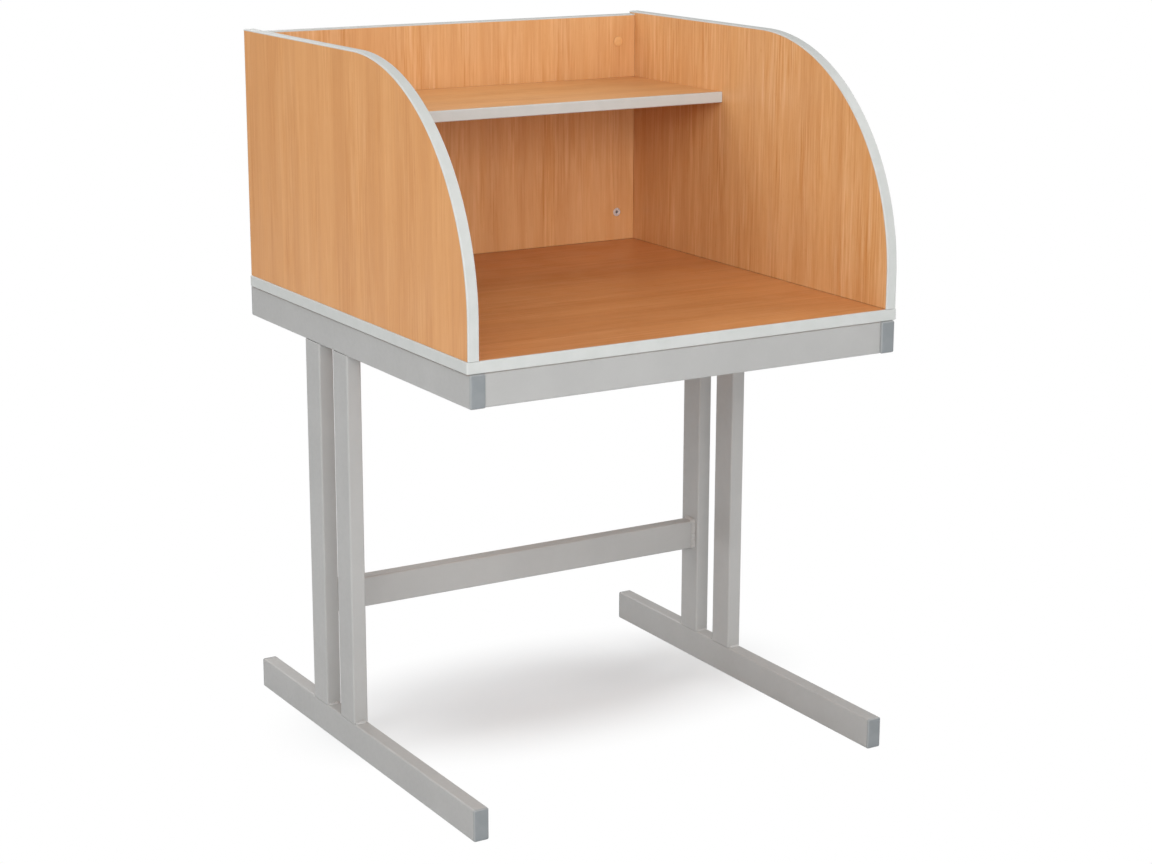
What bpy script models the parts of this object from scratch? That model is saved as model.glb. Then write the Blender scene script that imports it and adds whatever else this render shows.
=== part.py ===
"""Study carrel for one person: a desktop, two curved side panels, a back panel and a fixed shelf
of laminated board, on a welded cantilever frame of rectangular steel tube.

Blender 4.5, in metres, +Z up. The user sits at -Y and looks along +Y. The origin is on the
floor, under the middle of the footprint. Left and right are as the user sees them.
"""

import math

import bmesh
import bpy
from mathutils import Matrix, Vector

MM = 0.001
GAP = 0.3 * MM  # left between pieces that touch
SIDES = (("left", -1), ("right", 1))

# Steel frame: every member is the same rectangular tube.
TUBE_HEIGHT = 50 * MM
TUBE_WIDTH = 25 * MM
TUBE_WALL = 1.5 * MM
TUBE_CORNER = 3 * MM
FRAME_DEPTH = 760 * MM  # over the end caps of the feet and arms
FRAME_WIDTH = 742 * MM  # over the outer faces of the feet and arms
UPRIGHT_CENTRES = {"front": 45 * MM, "rear": 145 * MM}  # Y of each pair's uprights
CROSSBAR_CENTRE_HEIGHT = 226 * MM

# Plastic end caps of the feet and arms.
CAP_HEAD = 4 * MM
CAP_RIM = 1.5 * MM  # chamfer round the head's face
CAP_INSERT = 18 * MM
CAP_INSERT_WALL = 2 * MM

# Laminated boards with a plastic edge strip.
BOARD = 18 * MM
EDGE = 2 * MM
DESK_TOP = 718 * MM
DESK_WIDTH = 750 * MM
DESK_DEPTH = 750 * MM
DESK_FRONT = -377.5 * MM
DESK_CORNER = 2.7 * MM
PANEL_HEIGHT = 400 * MM  # from the desktop to the top of the side panels
PANEL_CURVE = 350 * MM  # radius of the panel's front top corner
PANEL_INSET = 2 * MM  # from the desktop's side edge to the panel's outer face
BACK_HEIGHT = 396 * MM  # from the desktop to the top of the back panel
SHELF_DEPTH = 275 * MM
SHELF_CLEARANCE = 270 * MM  # under the shelf
CURVE_STEPS = 48

# Cam fitting: a turning cam in one board draws in a bolt that is screwed into the other.
CAM_RADIUS = 7.35 * MM
CAM_HEIGHT = 13.5 * MM
CAM_FROM_END = 34 * MM  # from the joint to the cam's axis
CAM_POCKET_RADIUS = 7.6 * MM
CAM_POCKET_DEPTH = 14 * MM
CAM_CAVITY_RADIUS = 5.5 * MM
CAM_CAVITY_HEIGHT = 6.8 * MM
CAM_RECESS_ARM = 2.2 * MM
CAM_TURN = math.radians(190)  # from locked to open
BOLT_BORE_RADIUS = 4 * MM
BOLT_NECK_RADIUS = 1.6 * MM
BOLT_HEAD_RADIUS = 3 * MM
BOLT_THREAD_RADIUS = 2.4 * MM
BOLT_THREAD_LENGTH = 11 * MM
BACK_CAM_HEIGHTS = {"lower": 50 * MM, "upper": 350 * MM}  # above the desktop
SHELF_CAM_PLACES = {"front": 120 * MM, "rear": 310 * MM}  # Y
COVER_RADIUS = 8.5 * MM

# Screws up through the desktop into the side panels, and through the arms into the desktop.
PANEL_SCREW_LENGTH = 50 * MM
PANEL_SCREW_PLACES = {"front": -290 * MM, "middle": -20 * MM, "rear": 250 * MM}  # Y
PANEL_SCREW_RADIUS = 2.3 * MM
PANEL_SCREW_HEAD = 4.6 * MM
ARM_SCREW_PLACES = {"front": -200 * MM, "rear": 290 * MM}  # Y
ARM_SCREW_RADIUS = 2.1 * MM
ARM_SCREW_HEAD = 4.5 * MM
ARM_ACCESS_RADIUS = 6 * MM

# Places that follow from the sizes above.
DESK_BOTTOM = DESK_TOP - BOARD
DESK_BACK = DESK_FRONT + DESK_DEPTH
ARM_TOP = DESK_BOTTOM - GAP
ARM_BOTTOM = ARM_TOP - TUBE_HEIGHT
UPRIGHT_LENGTH = ARM_BOTTOM - TUBE_HEIGHT
PANEL_BOTTOM = DESK_TOP + GAP
PANEL_TOP = DESK_TOP + PANEL_HEIGHT
PANEL_OUTER = DESK_WIDTH / 2 - PANEL_INSET  # X of the right panel's outer face
PANEL_INNER = PANEL_OUTER - BOARD
PANEL_MIDDLE = PANEL_OUTER - BOARD / 2
BACK_INNER = DESK_BACK - BOARD
SHELF_BOTTOM = DESK_TOP + SHELF_CLEARANCE
SHELF_FRONT = BACK_INNER - SHELF_DEPTH
TUBE_END = FRAME_DEPTH / 2 - CAP_HEAD
FRAME_OUTER = FRAME_WIDTH / 2
FRAME_INNER = FRAME_OUTER - TUBE_WIDTH
FRAME_MIDDLE = FRAME_OUTER - TUBE_WIDTH / 2

# Directions in which an outline is seen: its x, its y, and the way its thickness runs.
X, Y, Z = Vector((1, 0, 0)), Vector((0, 1, 0)), Vector((0, 0, 1))
FROM_FRONT = (X, Z, -Y)
FROM_BACK = (-X, Z, Y)
FROM_SIDE = (Y, Z, X)
FROM_ABOVE = (X, Y, Z)


def start_scene():
    """Empties the scene and makes the collections and the empties that hold the assembly."""
    for obj in list(bpy.data.objects):
        bpy.data.objects.remove(obj)
    for name in ("study_carrel", "cutters"):
        bpy.context.scene.collection.children.link(bpy.data.collections.new(name))
    for name in ("carcass", "frame"):
        bpy.data.collections["study_carrel"].objects.link(bpy.data.objects.new(name, None))


def make_materials():
    looks = {
        "beech_laminate": ((0.72, 0.42, 0.20), 0.40, 0.0),
        "edge_strip": ((0.75, 0.77, 0.75), 0.45, 0.0),
        "silver_paint": ((0.46, 0.46, 0.45), 0.40, 0.2),
        "grey_plastic": ((0.30, 0.34, 0.35), 0.50, 0.0),
        "zinc": ((0.60, 0.60, 0.61), 0.35, 1.0),
        "cover_plastic": ((0.80, 0.50, 0.24), 0.50, 0.0),
    }
    for name, (colour, roughness, metallic) in looks.items():
        material = bpy.data.materials.new(name)
        material.use_nodes = True
        shader = material.node_tree.nodes["Principled BSDF"]
        shader.inputs["Base Color"].default_value = (*colour, 1.0)
        shader.inputs["Roughness"].default_value = roughness
        shader.inputs["Metallic"].default_value = metallic


def pose(directions, origin):
    """The matrix that puts a local x, y, z along three directions at a point."""
    matrix = Matrix(directions).transposed().to_4x4()
    matrix.translation = origin
    return matrix


def add_part(name, mesh, material, group, matrix):
    """A named piece of the assembly, under its group's empty."""
    part = bpy.data.objects.new(name, mesh)
    bpy.data.collections["study_carrel"].objects.link(part)
    if not mesh.materials:
        mesh.materials.append(bpy.data.materials[material])
    part.parent = bpy.data.objects[group]
    part.matrix_world = matrix
    return part


def helper(mesh, matrix=None):
    """An object that only cuts or joins, and isn't a piece of the carrel."""
    obj = bpy.data.objects.new("cutter", mesh)
    bpy.data.collections["cutters"].objects.link(obj)
    obj.hide_render = True
    obj.display_type = "WIRE"
    obj.matrix_world = matrix or Matrix.Identity(4)
    return obj


def combine(target, other, operation):
    modifier = target.modifiers.new(operation.lower(), "BOOLEAN")
    modifier.operation = operation
    modifier.object = other


def evaluated_mesh(obj):
    """The object's shape with its modifiers applied, with coincident points joined."""
    bpy.context.view_layer.update()
    graph = bpy.context.evaluated_depsgraph_get()
    mesh = bpy.data.meshes.new_from_object(obj.evaluated_get(graph))
    shape = bmesh.new()
    shape.from_mesh(mesh)
    bmesh.ops.remove_doubles(shape, verts=shape.verts, dist=0.001 * MM)
    bmesh.ops.recalc_face_normals(shape, faces=shape.faces)
    shape.to_mesh(mesh)
    shape.free()
    return mesh


def smooth(mesh, sharp_degrees=35):
    mesh.shade_smooth()
    mesh.set_sharp_from_angle(angle=math.radians(sharp_degrees))
    return mesh


def plate_mesh(outlines, thickness, z_middle=0.0):
    """A flat outline with a thickness. Outlines after the first are holes in it."""
    curve = bpy.data.curves.new("outline", "CURVE")
    curve.dimensions = "2D"
    curve.fill_mode = "BOTH"
    curve.extrude = thickness / 2
    for outline in outlines:
        spline = curve.splines.new("POLY")
        spline.points.add(len(outline) - 1)
        for point, (x, y) in zip(spline.points, outline):
            point.co = (x, y, 0, 1)
        spline.use_cyclic_u = True
    guide = helper(curve)
    mesh = evaluated_mesh(guide)
    mesh.transform(Matrix.Translation((0, 0, z_middle)))
    bpy.data.objects.remove(guide)
    return mesh


def box_mesh(low, high):
    """A box between two corners."""
    shape = bmesh.new()
    bmesh.ops.create_cube(shape, size=1)
    size = [b - a for a, b in zip(low, high)]
    middle = [(a + b) / 2 for a, b in zip(low, high)]
    bmesh.ops.scale(shape, vec=size, verts=shape.verts)
    bmesh.ops.translate(shape, vec=middle, verts=shape.verts)
    mesh = bpy.data.meshes.new("box")
    shape.to_mesh(mesh)
    shape.free()
    return mesh


def cylinder_mesh(radius, z_low, z_high, sides=24):
    """A cylinder about the local z axis."""
    shape = bmesh.new()
    bmesh.ops.create_cone(
        shape, cap_ends=True, segments=sides, radius1=radius, radius2=radius,
        depth=z_high - z_low, matrix=Matrix.Translation((0, 0, (z_low + z_high) / 2)),
    )
    mesh = bpy.data.meshes.new("cylinder")
    shape.to_mesh(mesh)
    shape.free()
    return mesh


def turned_mesh(profile, sides=12):
    """A shape turned about the local z axis, from (radius, z) points that run down its outside."""
    mesh = bpy.data.meshes.new("profile")
    edges = [(i, i + 1) for i in range(len(profile) - 1)]
    mesh.from_pydata([(radius, 0, z) for radius, z in profile], edges, [])
    turning = helper(mesh)
    screw = turning.modifiers.new("turn", "SCREW")
    screw.steps = screw.render_steps = sides
    screw.use_merge_vertices = True
    screw.merge_threshold = 0.01 * MM
    made = evaluated_mesh(turning)
    bpy.data.objects.remove(turning)
    return smooth(made)


def arc(centre, radius, start, end, steps):
    """Points along an arc, from one angle to another."""
    angles = [start + (end - start) * i / steps for i in range(steps + 1)]
    return [(centre[0] + radius * math.cos(a), centre[1] + radius * math.sin(a)) for a in angles]


def rounded_rectangle(width, height, radius, steps=4):
    points = []
    for turn, (x, y) in enumerate(((1, 1), (-1, 1), (-1, -1), (1, -1))):
        centre = (x * (width / 2 - radius), y * (height / 2 - radius))
        start = turn * math.pi / 2
        points += arc(centre, radius, start, start + math.pi / 2, steps)
    return points


def drill(target, place, direction, radius, depth, sides=16):
    """Cuts a round hole into a part, from a point on its face along a direction."""
    across = Z if abs(direction.dot(Z)) < 0.5 else X
    matrix = pose((across, direction.cross(across), direction), place)
    combine(target, helper(cylinder_mesh(radius, -MM, depth, sides), matrix), "DIFFERENCE")


# ---- Frame ----------------------------------------------------------------------------------


def tube_mesh(length):
    outer = rounded_rectangle(TUBE_WIDTH, TUBE_HEIGHT, TUBE_CORNER)
    inner = rounded_rectangle(
        TUBE_WIDTH - 2 * TUBE_WALL, TUBE_HEIGHT - 2 * TUBE_WALL, TUBE_CORNER - TUBE_WALL
    )
    return smooth(plate_mesh([outer, inner], length))


def chamfer_front(mesh, width):
    """Chamfers the outline of a plate's face at z = 0."""
    shape = bmesh.new()
    shape.from_mesh(mesh)
    flat = math.radians(5)
    rim = [
        edge
        for edge in shape.edges
        if min(v.co.z for v in edge.verts) > -GAP and edge.calc_face_angle() > flat
    ]
    bmesh.ops.bevel(shape, geom=rim, offset=width, segments=1, affect="EDGES")
    shape.to_mesh(mesh)
    shape.free()
    return mesh


def end_cap_mesh():
    """A plug for a tube's end: its face is at z = 0, and its hollow insert runs towards -z."""
    face = rounded_rectangle(TUBE_WIDTH, TUBE_HEIGHT, TUBE_CORNER, 3)
    head = helper(chamfer_front(plate_mesh([face], CAP_HEAD, -CAP_HEAD / 2), CAP_RIM))
    width = TUBE_WIDTH - 2 * (TUBE_WALL + GAP)
    height = TUBE_HEIGHT - 2 * (TUBE_WALL + GAP)
    outer = rounded_rectangle(width, height, 1.2 * MM, 1)
    inner = rounded_rectangle(
        width - 2 * CAP_INSERT_WALL, height - 2 * CAP_INSERT_WALL, 0.5 * MM, 1
    )
    overlap = CAP_HEAD / 2
    length = CAP_INSERT + overlap
    insert = helper(plate_mesh([outer, inner], length, -CAP_HEAD + overlap - length / 2))
    combine(head, insert, "UNION")
    mesh = smooth(evaluated_mesh(head))
    bpy.data.objects.remove(head)
    bpy.data.objects.remove(insert)
    return mesh


def build_frame():
    """Two welded end frames, joined by the crossbar and by a rail under each desktop edge."""
    long_tube = tube_mesh(2 * (TUBE_END - GAP))
    upright_tube = tube_mesh(UPRIGHT_LENGTH - 2 * GAP)
    cross_tube = tube_mesh(2 * (FRAME_INNER - GAP))
    cap = end_cap_mesh()
    for side, sign in SIDES:
        x = sign * FRAME_MIDDLE
        for member, z in (("foot", TUBE_HEIGHT / 2), ("top_arm", ARM_TOP - TUBE_HEIGHT / 2)):
            mesh = long_tube if member == "foot" else long_tube.copy()
            place = pose(FROM_FRONT, (x, 0, z))
            add_part(f"{side}_{member}", mesh, "silver_paint", "frame", place)
            for end, directions in (("front", FROM_FRONT), ("rear", FROM_BACK)):
                outward = directions[2]
                place = pose(directions, Vector((x, 0, z)) + outward * FRAME_DEPTH / 2)
                add_part(f"{side}_{member}_{end}_cap", cap, "grey_plastic", "frame", place)
        for end, y in UPRIGHT_CENTRES.items():
            place = pose(FROM_ABOVE, (x, y, TUBE_HEIGHT + UPRIGHT_LENGTH / 2))
            # The tube's larger side runs front to back.
            add_part(f"{side}_{end}_upright", upright_tube, "silver_paint", "frame", place)
    rail_y = TUBE_END - TUBE_WIDTH / 2
    rail_z = ARM_TOP - TUBE_HEIGHT / 2
    for name, y, z in (
        ("front_rail", -rail_y, rail_z),
        ("rear_rail", rail_y, rail_z),
        ("crossbar", UPRIGHT_CENTRES["rear"], CROSSBAR_CENTRE_HEIGHT),
    ):
        add_part(name, cross_tube, "silver_paint", "frame", pose(FROM_SIDE, (0, y, z)))


# ---- Boards and their edge strips -----------------------------------------------------------


def build_desktop():
    inset = EDGE + GAP
    middle_y = DESK_FRONT + DESK_DEPTH / 2
    half_x = DESK_WIDTH / 2 - inset
    half_y = DESK_DEPTH / 2 - inset
    board = box_mesh((-half_x, -half_y, -BOARD / 2), (half_x, half_y, BOARD / 2))
    place = pose(FROM_ABOVE, (0, middle_y, DESK_BOTTOM + BOARD / 2))
    add_part("desktop", board, "beech_laminate", "carcass", place)
    strip = plate_mesh(
        [
            rounded_rectangle(DESK_WIDTH, DESK_DEPTH, DESK_CORNER),
            rounded_rectangle(
                DESK_WIDTH - 2 * EDGE, DESK_DEPTH - 2 * EDGE, DESK_CORNER - EDGE
            ),
        ],
        BOARD,
    )
    add_part("desktop_edging", strip, "edge_strip", "carcass", place)


def panel_path(inset):
    """The side panel's edge from its front bottom corner, round the curve, to its rear top
    corner, as (Y, Z) points moved inwards by an inset."""
    centre = (DESK_FRONT + PANEL_CURVE, PANEL_TOP - PANEL_CURVE)
    curve = arc(centre, PANEL_CURVE - inset, math.pi, math.pi / 2, CURVE_STEPS)
    return [(DESK_FRONT + inset, PANEL_BOTTOM), *curve, (DESK_BACK, PANEL_TOP - inset)]


def build_side_panels():
    inset = EDGE + GAP
    path = panel_path(inset)
    rear = DESK_BACK - inset
    board_outline = [*path[:-1], (rear, PANEL_TOP - inset), (rear, PANEL_BOTTOM)]
    strip_outline = panel_path(0) + panel_path(EDGE)[::-1]
    for side, sign in SIDES:
        place = pose(FROM_SIDE, (sign * PANEL_MIDDLE, 0, 0))
        board = plate_mesh([board_outline[::-1]], BOARD)
        add_part(f"{side}_side_panel", board, "beech_laminate", "carcass", place)
        strip = smooth(plate_mesh([strip_outline[::-1]], BOARD), 20)
        add_part(f"{side}_side_edging", strip, "edge_strip", "carcass", place)
        rear_strip = box_mesh(
            (DESK_BACK - EDGE, PANEL_BOTTOM, -BOARD / 2),
            (DESK_BACK, PANEL_TOP - inset, BOARD / 2),
        )
        add_part(f"{side}_side_rear_edging", rear_strip, "edge_strip", "carcass", place)


def build_back_panel():
    half = PANEL_INNER - GAP
    top = DESK_TOP + BACK_HEIGHT
    place = pose(FROM_ABOVE, (0, BACK_INNER, 0))
    board = box_mesh((-half, 0, PANEL_BOTTOM), (half, BOARD, top - EDGE - GAP))
    add_part("back_panel", board, "beech_laminate", "carcass", place)
    strip = box_mesh((-half, 0, top - EDGE), (half, BOARD, top))
    add_part("back_panel_edging", strip, "edge_strip", "carcass", place)


def build_shelf():
    half = PANEL_INNER - GAP
    place = pose(FROM_ABOVE, (0, SHELF_FRONT, SHELF_BOTTOM))
    board = box_mesh((-half, EDGE + GAP, 0), (half, SHELF_DEPTH - GAP, BOARD))
    add_part("shelf", board, "beech_laminate", "carcass", place)
    strip = box_mesh((-half, 0, 0), (half, EDGE, BOARD))
    add_part("shelf_edging", strip, "edge_strip", "carcass", place)


# ---- Cam fittings ---------------------------------------------------------------------------


def cross_recess(width, arm, depth):
    """Two crossed bars that cut a screwdriver recess into a face at z = 0."""
    bars = ((width / 2, arm / 2), (arm / 2, width / 2))
    return [helper(box_mesh((-x, -y, -depth), (x, y, MM))) for x, y in bars]


def cam_mesh():
    """A cam with its face at z = 0. Locked, its bolt comes in along +x, and the slot in its
    wall lets the cam turn about the bolt's neck as far as the wider mouth, which is at -x."""
    cam = helper(cylinder_mesh(CAM_RADIUS, -CAM_HEIGHT, 0, 24))
    cavity_z = -BOARD / 2
    half = CAM_CAVITY_HEIGHT / 2
    cavity = cylinder_mesh(CAM_CAVITY_RADIUS, cavity_z - half, cavity_z + half, 16)
    clearance = 0.4 * MM
    spare = math.asin((BOLT_NECK_RADIUS + clearance) / CAM_CAVITY_RADIUS)
    inside, outside = 4 * MM, CAM_RADIUS + 2 * MM
    steps = 10
    sector = arc((0, 0), outside, -CAM_TURN, spare, steps)
    sector += arc((0, 0), inside, spare, -CAM_TURN, steps)
    slot = plate_mesh([sector], 2 * (BOLT_NECK_RADIUS + clearance), cavity_z)
    mouth = cylinder_mesh(BOLT_HEAD_RADIUS + clearance, inside, outside, 10)
    direction = Vector((math.cos(-CAM_TURN), math.sin(-CAM_TURN), 0))
    mouth_place = pose((Z, direction.cross(Z), direction), (0, 0, cavity_z))
    cutters = [helper(cavity), helper(slot), helper(mouth, mouth_place)]
    cutters += cross_recess(7 * MM, CAM_RECESS_ARM, 3 * MM)
    for cutter in cutters:
        combine(cam, cutter, "DIFFERENCE")
    mesh = smooth(evaluated_mesh(cam))
    for obj in [cam, *cutters]:
        bpy.data.objects.remove(obj)
    return mesh


def bolt_mesh():
    """A cam bolt: its thread runs to -z from the face of the panel it is screwed into."""
    head_end = CAM_FROM_END + 0.8 * MM
    return turned_mesh(
        [
            (0, head_end),
            (BOLT_HEAD_RADIUS, head_end - 0.8 * MM),
            (BOLT_HEAD_RADIUS, head_end - 3 * MM),
            (BOLT_NECK_RADIUS, head_end - 3.6 * MM),
            (BOLT_NECK_RADIUS, 25 * MM),
            (3.4 * MM, 24 * MM),
            (3.4 * MM, GAP),
            (BOLT_THREAD_RADIUS, GAP),
            (BOLT_THREAD_RADIUS, 1.4 * MM - BOLT_THREAD_LENGTH),
            (0, -BOLT_THREAD_LENGTH),
        ],
        10,
    )


def cover_mesh():
    """A push-in cover: a thin domed disc at z = 0 with a stem that plugs into the cam."""
    stem = CAM_RECESS_ARM / 2 - GAP
    return turned_mesh(
        [
            (0, 1.7 * MM),
            (6.5 * MM, 1.5 * MM),
            (COVER_RADIUS, 0.8 * MM),
            (COVER_RADIUS, 0),
            (stem, 0),
            (stem, -2.6 * MM),
            (0, -2.6 * MM),
        ],
        20,
    )


def fit_cam(label, group, cam, bolt, board, sign, place, outward):
    """Lets a cam into a board's face at a place, and its bolt into the side panel beside it."""
    side_panel = bpy.data.objects[f"{'left' if sign < 0 else 'right'}_side_panel"]
    to_side = X * sign
    add_part(
        f"{group}_cam_{label}", cam, "zinc", "carcass",
        pose((to_side, outward.cross(to_side), outward), place),
    )
    drill(board, place, -outward, CAM_POCKET_RADIUS, CAM_POCKET_DEPTH, 24)
    joint = place - outward * BOARD / 2
    joint.x = sign * PANEL_INNER
    add_part(
        f"{group}_cam_bolt_{label}", bolt, "zinc", "carcass",
        pose((outward, outward.cross(to_side), -to_side), joint),
    )
    reach = CAM_FROM_END - CAM_CAVITY_RADIUS
    drill(board, joint, -to_side, BOLT_BORE_RADIUS, reach)
    drill(side_panel, joint, to_side, BOLT_THREAD_RADIUS + GAP, BOLT_THREAD_LENGTH + 2 * GAP)


def build_cam_fittings():
    cam, bolt, cover = cam_mesh(), bolt_mesh(), cover_mesh()
    back_panel = bpy.data.objects["back_panel"]
    shelf = bpy.data.objects["shelf"]
    for side, sign in SIDES:
        x = sign * (PANEL_INNER - CAM_FROM_END)
        for level, height in BACK_CAM_HEIGHTS.items():
            place = Vector((x, BACK_INNER, DESK_TOP + height))
            fit_cam(f"{level}_{side}", "back", cam, bolt, back_panel, sign, place, -Y)
            if level == "upper":
                cover_place = pose(FROM_FRONT, place - Y * GAP)
                add_part(f"cam_cover_{side}", cover, "cover_plastic", "carcass", cover_place)
        for end, y in SHELF_CAM_PLACES.items():
            place = Vector((x, y, SHELF_BOTTOM))
            fit_cam(f"{end}_{side}", "shelf", cam, bolt, shelf, sign, place, -Z)


# ---- Screws ---------------------------------------------------------------------------------


def panel_screw_mesh():
    """A countersunk screw, head down at z = 0."""
    core = PANEL_SCREW_RADIUS
    tip = PANEL_SCREW_LENGTH
    return turned_mesh(
        [
            (0, tip),
            (0.8 * MM, tip - MM),
            (core, tip - 5 * MM),
            (core, PANEL_SCREW_HEAD - core + 0.6 * MM),
            (PANEL_SCREW_HEAD, 0.6 * MM),
            (PANEL_SCREW_HEAD, 0),
            (0, 0),
        ]
    )


def arm_screw_mesh():
    """A pan-head screw whose head bears upwards at z = 0."""
    core = ARM_SCREW_RADIUS
    return turned_mesh(
        [
            (0, 16 * MM),
            (core, 14 * MM),
            (core, 0),
            (ARM_SCREW_HEAD, 0),
            (ARM_SCREW_HEAD, -1.6 * MM),
            (3 * MM, -2.8 * MM),
            (0, -2.8 * MM),
        ]
    )


def drive_side_panel_screws():
    """Screws that hold each side panel down, sunk into the desktop's underside."""
    screw = panel_screw_mesh()
    desktop = bpy.data.objects["desktop"]
    sink = GAP
    countersink = turned_mesh(
        [
            (0, BOARD + MM),
            (PANEL_SCREW_RADIUS + GAP, BOARD + MM),
            (PANEL_SCREW_RADIUS + GAP, PANEL_SCREW_HEAD - PANEL_SCREW_RADIUS + 1.2 * MM),
            (PANEL_SCREW_HEAD + GAP, 1.2 * MM),
            (PANEL_SCREW_HEAD + GAP, -MM),
            (0, -MM),
        ],
        16,
    )
    for side, sign in SIDES:
        panel = bpy.data.objects[f"{side}_side_panel"]
        for label, y in PANEL_SCREW_PLACES.items():
            place = Vector((sign * PANEL_MIDDLE, y, DESK_BOTTOM))
            add_part(
                f"{side}_panel_screw_{label}", screw, "zinc", "carcass",
                pose(FROM_ABOVE, place + Z * sink),
            )
            combine(desktop, helper(countersink, pose(FROM_ABOVE, place)), "DIFFERENCE")
            bore = PANEL_SCREW_LENGTH - BOARD + 2 * GAP
            start = place + Z * (BOARD + GAP)
            drill(panel, start, Z, PANEL_SCREW_RADIUS + GAP, bore, 12)


def drive_arm_screws():
    """Screws that hold the desktop down. Each head sits inside the arm, on its upper wall, and
    the driver reaches it through a larger hole in the lower wall."""
    screw = arm_screw_mesh()
    desktop = bpy.data.objects["desktop"]
    for side, sign in SIDES:
        arm = bpy.data.objects[f"{side}_top_arm"]
        for label, y in ARM_SCREW_PLACES.items():
            column = Vector((sign * FRAME_MIDDLE, y, 0))
            add_part(
                f"{side}_arm_screw_{label}", screw, "zinc", "frame",
                pose(FROM_ABOVE, column + Z * (ARM_TOP - TUBE_WALL - GAP)),
            )
            upper = column + Z * (ARM_TOP - TUBE_WALL)
            drill(arm, column + Z * ARM_BOTTOM, Z, ARM_ACCESS_RADIUS, TUBE_WALL + MM)
            drill(arm, upper, Z, ARM_SCREW_RADIUS + 2 * GAP, TUBE_WALL + MM)
            drill(desktop, column + Z * DESK_BOTTOM, Z, ARM_SCREW_RADIUS + GAP, 15 * MM)


start_scene()
make_materials()
build_frame()
build_desktop()
build_side_panels()
build_back_panel()
build_shelf()
build_cam_fittings()
drive_side_panel_screws()
drive_arm_screws()
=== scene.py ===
"""Looks for the study carrel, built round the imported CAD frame: finely rounded tubes and end caps,
edge strips, weld beads and fittings, a node material for each surface, and a plain pale studio.

Metres, +Z up. The user sits at -Y. Left and right are as the user sees them.
"""

import math

import bmesh
import bpy
from mathutils import Matrix, Vector, noise


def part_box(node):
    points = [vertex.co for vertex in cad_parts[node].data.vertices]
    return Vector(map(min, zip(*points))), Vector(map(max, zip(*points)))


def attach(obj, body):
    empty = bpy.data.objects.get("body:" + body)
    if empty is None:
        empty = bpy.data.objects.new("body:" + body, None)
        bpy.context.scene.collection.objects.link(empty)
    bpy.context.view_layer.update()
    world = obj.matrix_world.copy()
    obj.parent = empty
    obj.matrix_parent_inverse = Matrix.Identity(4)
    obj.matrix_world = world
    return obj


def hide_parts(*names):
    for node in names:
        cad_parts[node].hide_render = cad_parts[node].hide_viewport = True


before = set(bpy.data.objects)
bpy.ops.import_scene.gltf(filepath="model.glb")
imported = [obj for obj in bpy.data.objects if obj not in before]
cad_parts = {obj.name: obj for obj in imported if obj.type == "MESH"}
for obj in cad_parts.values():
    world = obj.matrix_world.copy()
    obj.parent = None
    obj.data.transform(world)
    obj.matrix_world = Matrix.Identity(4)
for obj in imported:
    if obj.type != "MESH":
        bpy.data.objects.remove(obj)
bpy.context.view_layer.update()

MM = 0.001
GAP = 0.3 * MM  # the space that the CAD model leaves between pieces that touch
SIDES = (("left", -1), ("right", 1))
X, Y, Z = Vector((1, 0, 0)), Vector((0, 1, 0)), Vector((0, 0, 1))
CORNER_STEPS = 8
ROUND_STEPS = 48
SHARP_DEGREES = 32  # an edge that turns more than this is drawn sharp

TUBE_WALL = 1.5 * MM
TUBE_CORNER = 3 * MM
SAW_CHAMFER = 0.5 * MM
ARM_HOLE_RADIUS = 6 * MM  # under each arm, for the screws that hold the desktop

CAP_HEAD = 4 * MM
CAP_RIM = 3 * MM
CAP_SMALLEST_CORNER = 0.4 * MM
CAP_GROOVE = 0.8 * MM
CAP_DOME = 0.25 * MM
CAP_DOME_INSETS = (4 * MM, 7 * MM, 10 * MM)
CAP_INSERT = 18 * MM
CAP_INSERT_WALL = 2 * MM
CAP_INSERT_SLACK = 0.3 * MM
CAP_RIBS = 3
CAP_RIB_PITCH = 4 * MM
CAP_RIB_GRIP = 0.2 * MM

UPRIGHT_WELD = 3.2 * MM
RAIL_WELD = 2.6 * MM
CROSSBAR_WELD = 3.6 * MM
CROSSBAR_FRONT_WELD = 4.6 * MM
CROSSBAR_CORNER_WELD = 4.2 * MM
CROSSBAR_CORNER_REACH = Vector((0, 3.5 * MM, 4.5 * MM))
WELD_STEP = 0.5 * MM
WELD_SEGMENTS = 14
WELD_HEIGHT, WELD_WIDTH = 0.8, 1.5  # times the weld's radius
WELD_SEED = 310  # it keeps each weld's lumps apart from its neighbours'
WELD_RIPPLE, WELD_RIPPLE_LENGTH = 0.10, 2.6 * MM
WELD_LUMP, LUMPS_PER_METRE = 0.45, 160
WELD_WANDER, WANDERS_PER_METRE = 0.5 * MM, 90
WELD_SHARP_DEGREES = 60

EDGE = 2 * MM
EDGE_ARRIS = 1.9 * MM
ARRIS_STEPS = 4
DESK_CORNER = 2.7 * MM
PANEL_CURVE = 350 * MM
PANEL_CURVE_STEPS = 72

CAM_TURN = math.radians(190)  # from locked to open
CAM_RIM = 0.4 * MM
CAM_FACE_STEP = 0.35 * MM
CAM_CAVITY = 5.5 * MM
CAM_CAVITY_HALF = 3.4 * MM
CAM_SLOT_STEPS = 40
CAM_RECESS = (6.4 * MM, 2.4 * MM, 2.9 * MM)  # width, arm and depth
BOLT_NECK = 2 * MM
BOLT_MOUTH = 3.4 * MM
COVER_RIM = 0.6 * MM
COVER_STEM = 0.8 * MM
COVER_STEM_LENGTH = 2.6 * MM
SCREW_CORE = 2.1 * MM
SCREW_HEAD = 2.8 * MM
SCREW_TIP = 0.3 * MM
SCREW_RECESS = (4.4 * MM, 1.1 * MM, 1.8 * MM)

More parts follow.
